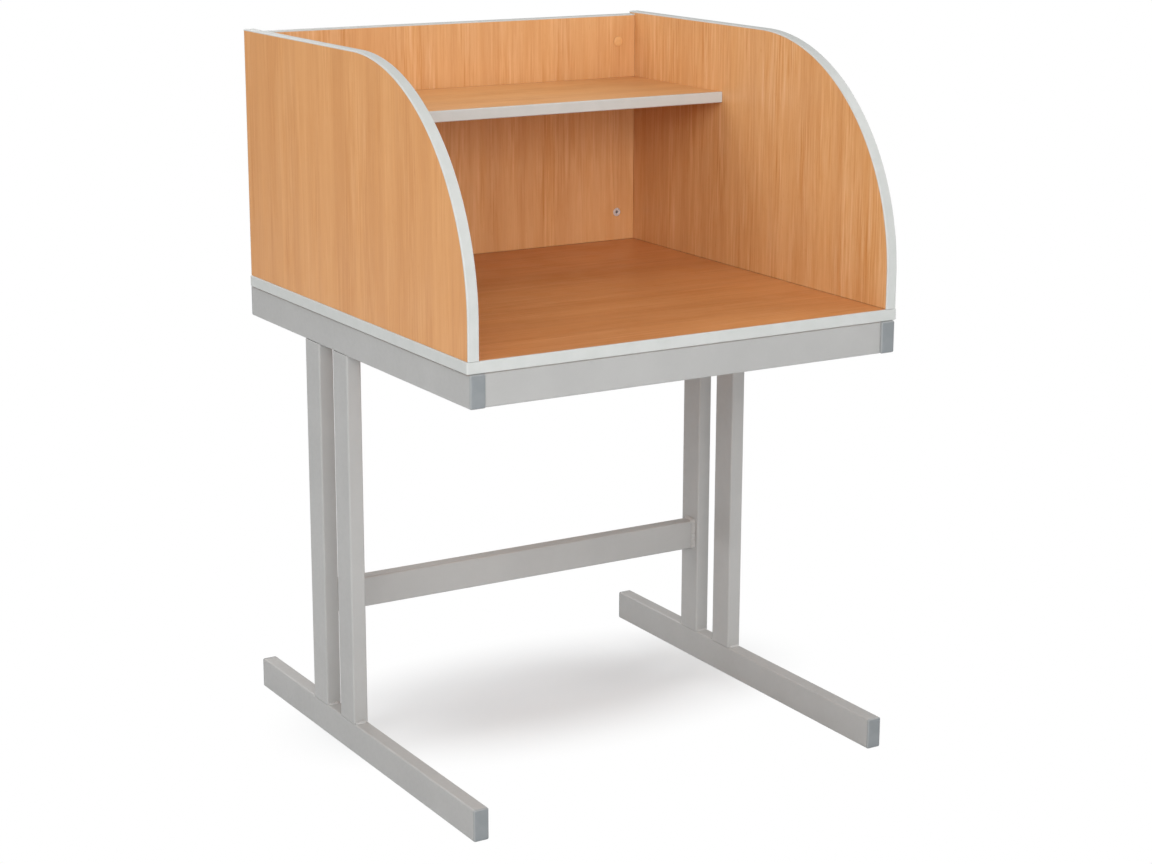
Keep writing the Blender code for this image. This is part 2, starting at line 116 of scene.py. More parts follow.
USUAL_NOISE = (0.3, 0.7)  # where most of a noise's values lie
# painted shade along the bottom of an upright board where it stands on the desktop: its height and
# how dark it is
PAINTED_SHADE_HEIGHT = 1.5 * MM
PAINTED_SHADE_LEVEL = 0.6
PANEL_INSIDE = 356 * MM  # just past a side panel's inner face
GRAIN_POWERS = (0.62, 1.25, 2.45)  # for red, green and blue, so that dark lines are redder
GRAIN_SWAY = 0.014


# ---- Shapes ---------------------------------------------------------------------------------


def pose(directions, origin):
    """The matrix that puts a local x, y, z along three directions at a point."""
    matrix = Matrix(directions).transposed().to_4x4()
    matrix.translation = origin
    return matrix


def arc(centre, radius, start, end, steps):
    """Points along an arc, from one angle to another."""
    angles = [start + (end - start) * i / steps for i in range(steps + 1)]
    return [(centre[0] + radius * math.cos(a), centre[1] + radius * math.sin(a)) for a in angles]


def rounded_rectangle(width, height, radius, steps=CORNER_STEPS):
    points = []
    for turn, (x, y) in enumerate(((1, 1), (-1, 1), (-1, -1), (1, -1))):
        centre = (x * (width / 2 - radius), y * (height / 2 - radius))
        start = turn * math.pi / 2
        points += arc(centre, radius, start, start + math.pi / 2, steps)
    return points


def raised(outline, z):
    return [Vector((x, y, z)) for x, y in outline]


def circle(radius, z, segments=ROUND_STEPS):
    return raised(arc((0, 0), radius, 0, math.tau, segments)[:-1], z)


def shade(mesh, sharp_degrees=SHARP_DEGREES):
    mesh.shade_smooth()
    mesh.set_sharp_from_angle(angle=math.radians(sharp_degrees))
    return mesh


def loft(loops, ring=False, sharp_degrees=SHARP_DEGREES):
    """A closed mesh through a row of loops with the same number of points. A ring joins its last
    loop to its first, and otherwise a face closes each end."""
    mesh = bpy.data.meshes.new("loft")
    size = len(loops[0])
    count = len(loops)
    faces = []
    for i in range(count if ring else count - 1):
        a, b = i * size, (i + 1) % count * size
        faces += [(a + j, a + (j + 1) % size, b + (j + 1) % size, b + j) for j in range(size)]
    if not ring:
        faces.append(tuple(range(size))[::-1])
        faces.append(tuple(range((count - 1) * size, count * size)))
    mesh.from_pydata([point for loop in loops for point in loop], [], faces)
    shape = bmesh.new()
    shape.from_mesh(mesh)
    bmesh.ops.recalc_face_normals(shape, faces=shape.faces)
    shape.to_mesh(mesh)
    shape.free()
    return shade(mesh, sharp_degrees)


def turned(profile):
    """A turned shape from (radius, z) points, closed by a flat face at each end."""
    return loft([circle(radius, z) for radius, z in profile])


def cut(mesh, cutters):
    """The mesh less the cutters' shapes, each a mesh in the same coordinates."""
    target = bpy.data.objects.new("target", mesh)
    bpy.context.scene.collection.objects.link(target)
    tools = []
    for cutter in cutters:
        tool = bpy.data.objects.new("tool", cutter)
        bpy.context.scene.collection.objects.link(tool)
        modifier = target.modifiers.new("cut", "BOOLEAN")
        modifier.operation = "DIFFERENCE"
        modifier.object = tool
        tools.append(tool)
    bpy.context.view_layer.update()
    graph = bpy.context.evaluated_depsgraph_get()
    made = bpy.data.meshes.new_from_object(target.evaluated_get(graph))
    for obj in [target, *tools]:
        bpy.data.objects.remove(obj)
    return shade(made)


def add_piece(name, mesh, finish, body="carrel", matrix=None, stands_for=()):
    """A visible piece that rides on a CAD body, in a finish that carries a slot name."""
    piece = bpy.data.objects.new(name, mesh)
    bpy.context.scene.collection.objects.link(piece)
    piece.matrix_world = matrix or Matrix.Identity(4)
    piece.data.materials.clear()
    piece.data.materials.append(finish)
    weights = piece.modifiers.new("flat faces stay flat", "WEIGHTED_NORMAL")
    weights.keep_sharp = True
    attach(piece, body)
    if stands_for:
        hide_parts(*stands_for)


# ---- Materials ------------------------------------------------------------------------------


class Nodes:
    """A material's node tree, with short ways to add the nodes that this script uses."""

    def __init__(self, name, slot, roughness, **shader_values):
        self.material = bpy.data.materials.new(name)
        self.material["slot"] = slot
        self.material.use_nodes = True
        self.tree = self.material.node_tree
        self.shader = self.tree.nodes["Principled BSDF"]
        self.shader.inputs["Roughness"].default_value = roughness
        for socket, value in shader_values.items():
            self.shader.inputs[socket.replace("_", " ")].default_value = value
        coordinates = self.tree.nodes.new("ShaderNodeTexCoord")
        self.place = coordinates.outputs["Object"]

    def link(self, source, target):
        self.tree.links.new(source, target)

    def mapping(self, scale, shift=(0, 0, 0), vector=None):
        """Coordinates multiplied by a scale, which stretches a pattern where it is small."""
        node = self.tree.nodes.new("ShaderNodeMapping")
        node.inputs["Location"].default_value = shift
        node.inputs["Scale"].default_value = scale
        self.link(vector or self.place, node.inputs["Vector"])
        return node.outputs["Vector"]

    def noise(self, scale, detail=2.0, roughness=0.5, shift=(0, 0, 0), vector=None):
        node = self.tree.nodes.new("ShaderNodeTexNoise")
        node.inputs["Scale"].default_value = 1.0
        node.inputs["Detail"].default_value = detail
        node.inputs["Roughness"].default_value = roughness
        scale = scale if isinstance(scale, tuple) else (scale,) * 3
        self.link(self.mapping(scale, shift, vector), node.inputs["Vector"])
        return node.outputs["Fac"]

    def math(self, operation, first, second=0.0, third=0.0):
        node = self.tree.nodes.new("ShaderNodeMath")
        node.operation = operation
        for socket, value in zip(node.inputs, (first, second, third)):
            if isinstance(value, (int, float)):
                socket.default_value = value
            else:
                self.link(value, socket)
        return node.outputs["Value"]

    def along(self, axis):
        """The local coordinate along X, Y or Z."""
        parts = self.tree.nodes.new("ShaderNodeSeparateXYZ")
        self.link(self.place, parts.inputs[0])
        return parts.outputs[axis]

    def vector_math(self, operation, *values):
        """A vector maths node. Each value is a socket or a triple."""
        node = self.tree.nodes.new("ShaderNodeVectorMath")
        node.operation = operation
        for socket, value in zip(node.inputs, values):
            if isinstance(value, tuple):
                socket.default_value = value
            else:
                self.link(value, socket)
        return node.outputs

    def spread(self, value, low, high, to_low=0.0, to_high=1.0):
        """A value mapped from one range to another, smoothly, and held at the ends."""
        node = self.tree.nodes.new("ShaderNodeMapRange")
        node.interpolation_type = "SMOOTHSTEP"
        self.link(value, node.inputs["Value"])
        for socket, number in zip(
            ("From Min", "From Max", "To Min", "To Max"), (low, high, to_low, to_high)
        ):
            node.inputs[socket].default_value = number
        return node.outputs["Result"]

    def even(self, value, to_low=0.0, to_high=1.0):
        """The usual values of a noise, spread over a range."""
        return self.spread(value, *USUAL_NOISE, to_low, to_high)

    def mix(self, factor, first, second):
        """Two colours mixed by a factor, each a socket or an RGB triple."""
        node = self.tree.nodes.new("ShaderNodeMix")
        node.data_type = "RGBA"
        for index, value in ((0, factor), (6, first), (7, second)):
            socket = node.inputs[index]
            if isinstance(value, tuple):
                socket.default_value = (*value, 1.0)
            elif isinstance(value, (int, float)):
                socket.default_value = value
            else:
                self.link(value, socket)
        return node.outputs[2]

    def brighten(self, colour, amount):
        """A colour multiplied by a number from a socket."""
        node = self.tree.nodes.new("ShaderNodeVectorMath")
        node.operation = "SCALE"
        self.link(colour, node.inputs[0])
        self.link(amount, node.inputs["Scale"])
        return node.outputs["Vector"]

    def stain(self, colour, amount, powers):
        """A colour multiplied by a number from a socket, raised to a power for each channel."""
        channels = self.tree.nodes.new("ShaderNodeCombineXYZ")
        for socket, power in zip(channels.inputs, powers):
            self.link(self.math("POWER", amount, power), socket)
        return self.vector_math("MULTIPLY", colour, channels.outputs["Vector"])["Vector"]

    def bump(self, height, distance, strength=1.0, normal=None):
        node = self.tree.nodes.new("ShaderNodeBump")
        node.inputs["Strength"].default_value = strength
        node.inputs["Distance"].default_value = distance
        self.link(height, node.inputs["Height"])
        if normal:
            self.link(normal, node.inputs["Normal"])
        return node.outputs["Normal"]

    def finish(self, colour=None, roughness=None, normal=None):
        for socket, value in (
            ("Base Color", colour), ("Roughness", roughness), ("Normal", normal)
        ):
            if value is not None:
                self.link(value, self.shader.inputs[socket])
        return self.material


def beech(name, grain, shift, tint_and_painted_light, contrast, bottom):
    """Printed beech laminate, calm and even. Its grain runs along one axis: slow bands, streaks
    about 14 mm wide, thin dark and pale lines that gather here and there, fine fibres, and short
    dark flecks. An upright board is painted darker along its bottom, painted shade where it stands
    on the desktop, but not on a side panel's outer face."""
    nodes = Nodes(name, "beech_laminate", 0.36, Specular_IOR_Level=0.45)

    # The board's colour scale is partly the laminate's own colour and partly painted light and
    # shade.
    def tinted_and_lit(*colour):
        return tuple(a * b for a, b in zip(colour, tint_and_painted_light))

    def stretched(across, along):
        return tuple(along if axis == grain else across for axis in "XYZ")

    sway = nodes.noise(stretched(7, 1.4), 2, shift=shift)
    swaying = nodes.vector_math("MULTIPLY_ADD", sway, stretched(GRAIN_SWAY, 0.0), nodes.place)

    def grain_noise(across, along, detail, roughness=0.55):
        flow = swaying["Vector"]
        return nodes.noise(stretched(across, along), detail, roughness, shift, flow)

    band = nodes.spread(grain_noise(20, 0.9, 3), 0.36, 0.64)
    colour = nodes.mix(band, tinted_and_lit(0.700, 0.343, 0.1450), tinted_and_lit(0.645, 0.303, 0.1225))
    streak = nodes.even(grain_noise(70, 3, 3), 0.965, 1.035)
    busy = nodes.spread(grain_noise(26, 4, 2), 0.34, 0.66, 0.25, 1.6)
    line = nodes.even(grain_noise(230, 8, 4, 0.6), -0.085, 0.080)
    thin = grain_noise(420, 5, 2)
    dark = nodes.math("MULTIPLY", nodes.spread(thin, 0.60, 0.76), -0.15)
    pale = nodes.math("MULTIPLY", nodes.spread(thin, 0.38, 0.24), 0.10)
    lines = nodes.math("ADD", line, nodes.math("ADD", dark, pale))
    lines = nodes.math("MULTIPLY_ADD", lines, busy, 1.0)
    fibres = grain_noise(900, 22, 3)
    fibre = nodes.even(fibres, 0.965, 1.035)
    fleck = nodes.spread(grain_noise(620, 75, 2), 0.63, 0.76)
    flecks = nodes.math("MULTIPLY_ADD", fleck, -0.09, 1.0)
    shading = nodes.math("MULTIPLY", nodes.math("MULTIPLY", streak, fibre), flecks)
    powers = [power * contrast for power in GRAIN_POWERS]
    colour = nodes.stain(colour, nodes.math("MULTIPLY", shading, lines), powers)
    # Painted shade: an upright board is darkened along its bottom, where it meets the desktop, but
    # not on a side panel's outer face.
    if grain == "Z":
        painted_joint_shade = nodes.spread(nodes.along("Z"), bottom, bottom + PAINTED_SHADE_HEIGHT, PAINTED_SHADE_LEVEL, 1.0)
        outside = nodes.math("GREATER_THAN", nodes.math("ABSOLUTE", nodes.along("X")), PANEL_INSIDE)
        colour = nodes.brighten(colour, nodes.math("MAXIMUM", painted_joint_shade, outside))
    pores = nodes.math("MULTIPLY_ADD", fleck, -1.0, fibres)
    gloss = nodes.even(nodes.noise(14, 3), 0.31, 0.40)
    gloss = nodes.math("MULTIPLY_ADD", fleck, 0.12, gloss)
    return nodes.finish(colour, gloss, nodes.bump(pores, 0.03 * MM, 0.5))


def edge_strip():
    """Smooth light grey plastic edging, with the faint ripple of an extruded strip."""
    nodes = Nodes("edge_strip", "edge_strip", 0.42, Specular_IOR_Level=0.45)
    mottle = nodes.even(nodes.noise(35, 4, 0.6))
    colour = nodes.mix(mottle, (0.514, 0.527, 0.508), (0.544, 0.551, 0.536))
    gloss = nodes.even(nodes.noise(220, 3), 0.38, 0.48)
    ripple = nodes.bump(nodes.noise(60, 2), 0.06 * MM, 0.5)
    grain = nodes.bump(nodes.noise(2600, 2), 0.015 * MM, 0.5, ripple)
    return nodes.finish(colour, gloss, grain)


def silver_paint():
    """Satin powder coat: a fine leathery texture over slower waves, with pale metallic specks."""
    nodes = Nodes("silver_paint", "silver_paint", 0.42, Metallic=0.12, Specular_IOR_Level=0.5)
    cloud = nodes.even(nodes.noise(9, 4, 0.6))
    colour = nodes.mix(cloud, (0.406, 0.401, 0.391), (0.431, 0.426, 0.415))
    speck = nodes.spread(nodes.noise(3200, 2), 0.60, 0.72, 1.0, 1.16)
    colour = nodes.brighten(colour, speck)
    gloss = nodes.even(nodes.noise(140, 3), 0.36, 0.48)
    waves = nodes.bump(nodes.noise(330, 2), 0.05 * MM, 0.6)
    leather = nodes.bump(nodes.noise(1500, 3, 0.6), 0.03 * MM, 0.6, waves)
    return nodes.finish(colour, gloss, leather)


def grey_plastic():
    """The blue-grey moulded plastic of the end caps, with a matt spark-eroded grain. It is painted
    paler round the rim, a painted highlight where the rounded rim catches the light."""
    nodes = Nodes("grey_plastic", "grey_plastic", 0.50, Specular_IOR_Level=0.45)
    cloud = nodes.even(nodes.noise(40, 3))
    colour = nodes.mix(cloud, (0.214, 0.230, 0.238), (0.235, 0.250, 0.259))
    # Painted highlight: the rim is paler in the colour, where the rounded rim catches the light.
    rim = nodes.spread(nodes.along("Z"), -0.9 * MM, -0.3 * MM, 1.0, 0.0)
    colour = nodes.mix(rim, colour, (0.292, 0.302, 0.305))
    gloss = nodes.even(nodes.noise(500, 3), 0.38, 0.50)
    grain = nodes.bump(nodes.noise(1800, 3, 0.6), 0.04 * MM, 0.6)
    return nodes.finish(colour, gloss, grain)


def zinc():
    """Zinc-plated die casting: bright, a little cloudy, with a fine cast skin, and painted darker in
    the driver recess, painted shade."""
    nodes = Nodes("zinc", "zinc", 0.32, Metallic=0.50)
    cloud = nodes.even(nodes.noise(260, 4, 0.6))
    colour = nodes.mix(cloud, (0.68, 0.71, 0.74), (0.84, 0.86, 0.88))
    # Painted shade: the driver recess is darkened in the colour.
    recess = nodes.spread(nodes.along("Z"), -1.2 * MM, -0.5 * MM, 0.3, 1.0)
    colour = nodes.brighten(colour, recess)
    gloss = nodes.even(nodes.noise(700, 3), 0.24, 0.42)
    skin = nodes.bump(nodes.noise(2400, 3), 0.02 * MM, 0.6)
    return nodes.finish(colour, gloss, skin)


def cover_plastic():
    """Beech-coloured moulded plastic."""
    nodes = Nodes("cover_plastic", "cover_plastic", 0.42, Specular_IOR_Level=0.45)
    cloud = nodes.even(nodes.noise(160, 3))
    colour = nodes.mix(cloud, (0.710, 0.385, 0.160), (0.755, 0.425, 0.178))
    gloss = nodes.even(nodes.noise(700, 3), 0.38, 0.48)
    grain = nodes.bump(nodes.noise(2600, 2), 0.02 * MM, 0.5)
    return nodes.finish(colour, gloss, grain)


# ---- Frame ----------------------------------------------------------------------------------


def measured(node):
    """A CAD node's middle, and its three extents from shortest to longest with their axes."""
    low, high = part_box(node)
    size = high - low
    order = sorted(range(3), key=lambda axis: size[axis])
    return (low + high) / 2, [size[axis] for axis in order], [(X, Y, Z)[axis] for axis in order]


def tube(node, finish, reach=0.0, holes=()):
    """A hollow rectangular tube in place of a CAD one. Its ends reach a little further, to meet
    what they are welded to. Holes for screws are at (x, y) places in its lower wall."""
    middle, (width, height, length), axes = measured(node)
    half = length / 2 + reach

    def section(inset, z):
        outline = rounded_rectangle(width - 2 * inset, height - 2 * inset, TUBE_CORNER - inset)
        return raised(outline, z)

    mesh = loft(
        [
            section(SAW_CHAMFER, -half),
            section(0, SAW_CHAMFER - half),
            section(0, half - SAW_CHAMFER),
            section(SAW_CHAMFER, half),
            section(TUBE_WALL, half),
            section(TUBE_WALL, -half),
        ],
        ring=True,
    )
    matrix = pose(axes, middle)
    if matrix.determinant() < 0:
        matrix = pose((-axes[0], axes[1], axes[2]), middle)
    mesh.transform(matrix)
    if holes:
        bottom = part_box(node)[0].z
        cutters = []
        for x, y in holes:
            drill = turned([(ARM_HOLE_RADIUS, -2 * MM), (ARM_HOLE_RADIUS, TUBE_WALL + MM)])
            drill.transform(Matrix.Translation((x, y, bottom)))
            cutters.append(drill)
        mesh = cut(mesh, cutters)
    add_piece(f"{node}_tube", mesh, finish, stands_for=[node])


def end_cap_mesh(width, height):
    """A plug for a tube's end. Its face is at z = 0, and its ribbed hollow insert runs to -z."""

    def head(inset, z):
        radius = max(TUBE_CORNER - inset, CAP_SMALLEST_CORNER)
        return raised(rounded_rectangle(width - 2 * inset, height - 2 * inset, radius), z)

    fit = TUBE_WALL + GAP
    insert = fit + CAP_INSERT_SLACK
    grip = fit - CAP_RIB_GRIP
    insert_end = -CAP_HEAD - CAP_INSERT
    loops = [
        head(fit + CAP_INSERT_WALL, -CAP_HEAD),
        head(fit + CAP_INSERT_WALL, insert_end),
        head(insert + CAP_INSERT_SLACK, insert_end),
        head(insert, insert_end + MM),
    ]
    for rib in range(CAP_RIBS):
        z = insert_end + (1 + rib) * CAP_RIB_PITCH
        loops += [head(insert, z - 0.4 * MM), head(grip, z)]
        loops += [head(grip, z + 0.5 * MM), head(insert, z + 0.9 * MM)]
    loops += [head(insert, -CAP_HEAD), head(CAP_GROOVE, -CAP_HEAD)]
    loops += [head(0, -CAP_HEAD + CAP_GROOVE)]
    for along, up in arc((CAP_RIM, -CAP_RIM - CAP_DOME), CAP_RIM, math.pi, math.pi / 2, 6):
        loops.append(head(along, up))
    for inset in CAP_DOME_INSETS:
        fall = ((width / 2 - inset) / (width / 2 - CAP_RIM)) ** 2
        loops.append(head(inset, -CAP_DOME * fall))
    return loft(loops)


def build_frame(paint, cap_finish):
    for side, _ in SIDES:
        low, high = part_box(f"{side}_top_arm")
        middle_x = (low.x + high.x) / 2
        screws = [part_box(f"{side}_arm_screw_{end}") for end in ("front", "rear")]
        holes = [(middle_x, (a.y + b.y) / 2) for a, b in screws]
        tube(f"{side}_top_arm", paint, holes=holes)
        tube(f"{side}_foot", paint)
        for end in ("front", "rear"):
            tube(f"{side}_{end}_upright", paint, GAP)
            for member in ("foot", "top_arm"):
                node = f"{side}_{member}_{end}_cap"
                low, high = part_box(node)
                outward = -Y if end == "front" else Y
                face = (low + high) / 2
                face.y = low.y if end == "front" else high.y
                mesh = end_cap_mesh(high.x - low.x, high.z - low.z)
                matrix = pose((Z.cross(outward), Z, outward), face)
                add_piece(f"{node}_moulding", mesh, cap_finish, matrix=matrix, stands_for=[node])
    for node in ("front_rail", "rear_rail", "crossbar"):
        tube(node, paint, GAP)


# ---- Welds ----------------------------------------------------------------------------------


def weld(name, start, end, bulge, radius, paint):
    """A painted weld bead along a joint, from start to end. It bulges in one direction, swells and
    sinks along its length, and thins out at both ends."""
    along = end - start
    length = along.length
    along.normalize()
    bulge = bulge.normalized()
    side = along.cross(bulge)
    steps = max(12, round(length / WELD_STEP))
    seed = start * WELD_SEED
    loops = []
    for step in range(steps + 1):
        share = step / steps
        distance = share * length
        taper = math.sqrt(max(1 - abs(2 * share - 1) ** 8, 0.02))
        ripple = 1 + WELD_RIPPLE * math.sin(distance / WELD_RIPPLE_LENGTH * math.tau)
        lump = 1 + WELD_LUMP * noise.noise(seed + along * distance * LUMPS_PER_METRE)
        wandering = noise.noise(seed + X * 9 + along * distance * WANDERS_PER_METRE)
        size = radius * taper * ripple * lump
        centre = start + along * distance + side * wandering * WELD_WANDER
        up, out = bulge * size * WELD_HEIGHT, side * size * WELD_WIDTH
        angles = [math.tau * i / WELD_SEGMENTS for i in range(WELD_SEGMENTS)]
        loops.append([centre + up * math.cos(a) + out * math.sin(a) for a in angles])
    add_piece(name, loft(loops, sharp_degrees=WELD_SHARP_DEGREES), paint)


def build_welds(paint):
    cross_low, cross_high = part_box("crossbar")
    for side, sign in SIDES:
        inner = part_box(f"{side}_rear_upright")[1 if sign < 0 else 0].x
        joints = {
            "top": ((cross_low.y, cross_high.z), (cross_high.y, cross_high.z), Z),
            "bottom": ((cross_low.y, cross_low.z), (cross_high.y, cross_low.z), -Z),
            "front": ((cross_low.y, cross_low.z), (cross_low.y, cross_high.z), -Y),
            "rear": ((cross_high.y, cross_low.z), (cross_high.y, cross_high.z), Y),
        }
        for label, (first, last, outward) in joints.items():
            start, stop = (Vector((inner, y, z)) for y, z in (first, last))
            bulge = outward - X * sign
            size = CROSSBAR_FRONT_WELD if label == "front" else CROSSBAR_WELD
            weld(f"crossbar_weld_{label}_{side}", start, stop, bulge, size, paint)
        corner = Vector((inner, cross_low.y, cross_high.z))
        start, stop = corner - CROSSBAR_CORNER_REACH, corner + CROSSBAR_CORNER_REACH * 0.6
        bulge = Z - Y - X * sign
        weld(f"crossbar_weld_corner_{side}", start, stop, bulge, CROSSBAR_CORNER_WELD, paint)
        for end in ("front", "rear"):
            low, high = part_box(f"{side}_{end}_upright")
            for face, y, outward in (("front", low.y, -Y), ("rear", high.y, Y)):
                for place, z, away in (("foot", low.z - GAP, Z), ("arm", high.z + GAP, -Z)):
                    start = Vector((low.x + TUBE_CORNER, y, z))
                    stop = Vector((high.x - TUBE_CORNER, y, z))
                    name = f"{side}_{end}_upright_weld_{place}_{face}"
                    weld(name, start, stop, outward + away, UPRIGHT_WELD, paint)
        for rail, outward in (("front_rail", Y), ("rear_rail", -Y)):
            low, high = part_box(rail)
            y = high.y if rail == "front_rail" else low.y
            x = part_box(f"{side}_top_arm")[1 if sign < 0 else 0].x
            start = Vector((x, y, low.z + TUBE_CORNER))
            stop = Vector((x, y, high.z - TUBE_CORNER))
            weld(f"{rail}_weld_{side}", start, stop, outward - X * sign, RAIL_WELD, paint)


# ---- Edge strips ----------------------------------------------------------------------------


def strip_section(thickness, depth):
    """A strip's section as (across, outward) points, with its two outer arrises rounded."""
    half = thickness / 2
    r = EDGE_ARRIS
    section = [(-half, -depth), (half, -depth)]
    section += arc((half - r, -r), r, 0, math.pi / 2, ARRIS_STEPS + 1)
    section += arc((-half + r, -r), r, math.pi / 2, math.pi, ARRIS_STEPS + 1)
    return section


def strip_mesh(path, across, depth, thickness, ring=False, round_end=False):
    """A strip along a path of (point, outward direction) pairs. Its depth runs inwards from the
    path. Its outer edge can be rounded off at the path's end."""
    section = strip_section(thickness, depth)
    stations = [(point, outward, 0.0) for point, outward in path]
    if round_end:
        point, outward, _ = stations.pop()
        inwards = (stations[-1][0] - point).normalized()
        for step in range(ARRIS_STEPS + 1):
            angle = step / ARRIS_STEPS * math.pi / 2
            back = inwards * EDGE_ARRIS * (1 - math.sin(angle))
            drop = EDGE_ARRIS * (1 - math.cos(angle))
            stations.append((point + back, outward, drop))
    loops = []
    for point, outward, drop in stations:
        loops.append([point + across * u + outward * min(v, -drop) for u, v in section])
    return loft(loops, ring=ring)


def along_line(start, end, outward):
    return [(start, outward), (end, outward)]


def build_desktop_edging(finish):
    """The strip round the desktop, a closed ring with rounded vertical corners."""
    low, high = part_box("desktop_edging")
    size, middle = high - low, (low + high) / 2
    outline = rounded_rectangle(size.x, size.y, DESK_CORNER)
    per_corner = CORNER_STEPS + 1
    path = []
    for index, (x, y) in enumerate(outline):
        angle = (index // per_corner + index % per_corner / CORNER_STEPS) * math.pi / 2
        path.append((middle + Vector((x, y, 0)), Vector((math.cos(angle), math.sin(angle), 0))))
    mesh = strip_mesh(path, Z, EDGE + GAP, size.z, ring=True)
    add_piece("desktop_edge_band", mesh, finish, stands_for=["desktop_edging"])


def build_panel_edging(finish):
    """The strips on the side panels: up the front, round the curve and back along the top, and
    down the rear."""
    for side, _ in SIDES:
        low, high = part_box(f"{side}_side_edging")
        middle = (low.x + high.x) / 2
        thickness = high.x - low.x
        centre_y, centre_z = low.y + PANEL_CURVE, high.z - PANEL_CURVE
        path = [(Vector((middle, low.y, low.z)), -Y)]
        for step in range(PANEL_CURVE_STEPS + 1):
            angle = math.pi - step / PANEL_CURVE_STEPS * math.pi / 2
            outward = Vector((0, math.cos(angle), math.sin(angle)))
            path.append((Vector((middle, centre_y, centre_z)) + outward * PANEL_CURVE, outward))
        path.append((Vector((middle, high.y, high.z)), Z))
        mesh = strip_mesh(path, X, EDGE + GAP, thickness, round_end=True)
        add_piece(f"{side}_side_edge_band", mesh, finish, stands_for=[f"{side}_side_edging"])
        node = f"{side}_side_rear_edging"
        low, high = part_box(node)
        bottom, top = Vector((middle, high.y, low.z)), Vector((middle, high.y, high.z + GAP))
        mesh = strip_mesh(along_line(bottom, top, Y), X, EDGE + GAP, thickness)
        add_piece(f"{side}_side_rear_edge_band", mesh, finish, stands_for=[node])


def build_straight_edging(finish):
    """The strips on the back panel's top and on the shelf's front."""
    low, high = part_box("back_panel_edging")
    y = (low.y + high.y) / 2
    path = along_line(Vector((low.x, y, high.z)), Vector((high.x, y, high.z)), Z)
    mesh = strip_mesh(path, Y, EDGE + GAP, high.y - low.y)
    add_piece("back_panel_edge_band", mesh, finish, stands_for=["back_panel_edging"])
    low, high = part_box("shelf_edging")
    z = (low.z + high.z) / 2
    path = along_line(Vector((low.x, low.y, z)), Vector((high.x, low.y, z)), -Y)
    mesh = strip_mesh(path, Z, EDGE + GAP, high.z - low.z)
    add_piece("shelf_edge_band", mesh, finish, stands_for=["shelf_edging"])


# ---- Fittings -------------------------------------------------------------------------------


def cross_recess(width, arm, depth):
    """Two crossed bars, narrower at the bottom, that cut a driver recess into a face at z = 0."""
    bars = []
    for x, y in ((width / 2, arm / 2), (arm / 2, width / 2)):
        loops = []
        for z, share in ((-depth, 0.6), (0, 1.0), (MM, 1.0)):
            corners = [(-x * share, -y * share), (x * share, -y * share)]
            corners += [(x * share, y * share), (-x * share, y * share)]
            loops.append(raised(corners, z))
        bars.append(loft(loops))
    return bars


def cam_mesh(radius, height, board):
    """A cam lock with its face at z = 0: a drum with a cross recess, a pointer, and the slotted
    cavity that takes the bolt's head. Locked, the bolt comes in along +x."""
    chamfer = 0.5 * MM
    drum = turned(
        [
            (radius - chamfer, -height),
            (radius, -height + chamfer),
            (radius, -CAM_RIM),
            (radius - CAM_RIM, 0),
            (radius - 1.5 * MM, 0),
            (radius - 1.9 * MM, -CAM_FACE_STEP),
            (0.5 * MM, -CAM_FACE_STEP),
        ]
    )
    middle = -board / 2
    inside, outside = 4 * MM, radius + 2 * MM
    spare = math.asin(BOLT_NECK / CAM_CAVITY)
    sector = arc((0, 0), outside, -CAM_TURN, spare, CAM_SLOT_STEPS)
    sector += arc((0, 0), inside, spare, -CAM_TURN, CAM_SLOT_STEPS)
    slot = loft([raised(sector, middle - BOLT_NECK), raised(sector, middle + BOLT_NECK)])
    entry = loft([circle(BOLT_MOUTH, z, ROUND_STEPS // 2) for z in (inside, outside)])
    direction = Vector((math.cos(-CAM_TURN), math.sin(-CAM_TURN), 0))
    entry.transform(pose((Z, direction.cross(Z), direction), (0, 0, middle)))
    room = turned([(CAM_CAVITY, middle - CAM_CAVITY_HALF), (CAM_CAVITY, middle + CAM_CAVITY_HALF)])
    tip = radius - 2.1 * MM
    arrow = [(tip, 0), (tip - 1.4 * MM, 0.9 * MM), (tip - 1.4 * MM, -0.9 * MM)]
    pointer = loft([raised(arrow, -0.8 * MM), raised(arrow, MM)])
    return cut(drum, [room, slot, entry, pointer, *cross_recess(*CAM_RECESS)])


def cover_mesh(radius, thickness):
    """A push-in cover: a shallow dome with a soft rim, on a stem that plugs into the cam."""
    profile = [(COVER_STEM, -COVER_STEM_LENGTH), (COVER_STEM, 0), (radius - COVER_RIM / 2, 0)]
    profile += arc((radius - COVER_RIM, COVER_RIM * 0.9), COVER_RIM, -math.pi / 4, math.pi / 2, 6)
    top_radius, top_z = profile[-1]
    for share in (0.85, 0.65, 0.45, 0.25, 0.08):
        profile.append((top_radius * share, top_z + (thickness - top_z) * (1 - share**2)))
    return turned(profile)


def build_fittings(metal, cover_finish):
    low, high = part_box("shelf")
    board = high.z - low.z
    cams = (("back_cam_lower", -Y), ("back_cam_upper", -Y),
            ("shelf_cam_front", -Z), ("shelf_cam_rear", -Z))
    for side, sign in SIDES:
        to_side = X * sign
        for kind, outward in cams:
            node = f"{kind}_{side}"
            low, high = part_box(node)
            height = abs((high - low).dot(outward))
            face = (low + high) / 2 + outward * height / 2
            mesh = cam_mesh((high.x - low.x) / 2, height, board)
            matrix = pose((to_side, outward.cross(to_side), outward), face)
            add_piece(f"{node}_casting", mesh, metal, node, matrix, [node])
        node = f"cam_cover_{side}"
        low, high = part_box(node)
        face = (low + high) / 2
        face.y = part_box(f"back_cam_upper_{side}")[0].y - GAP
        mesh = cover_mesh((high.x - low.x) / 2, face.y - low.y)
        add_piece(f"{node}_moulding", mesh, cover_finish, node, pose((X, Z, -Y), face), [node])


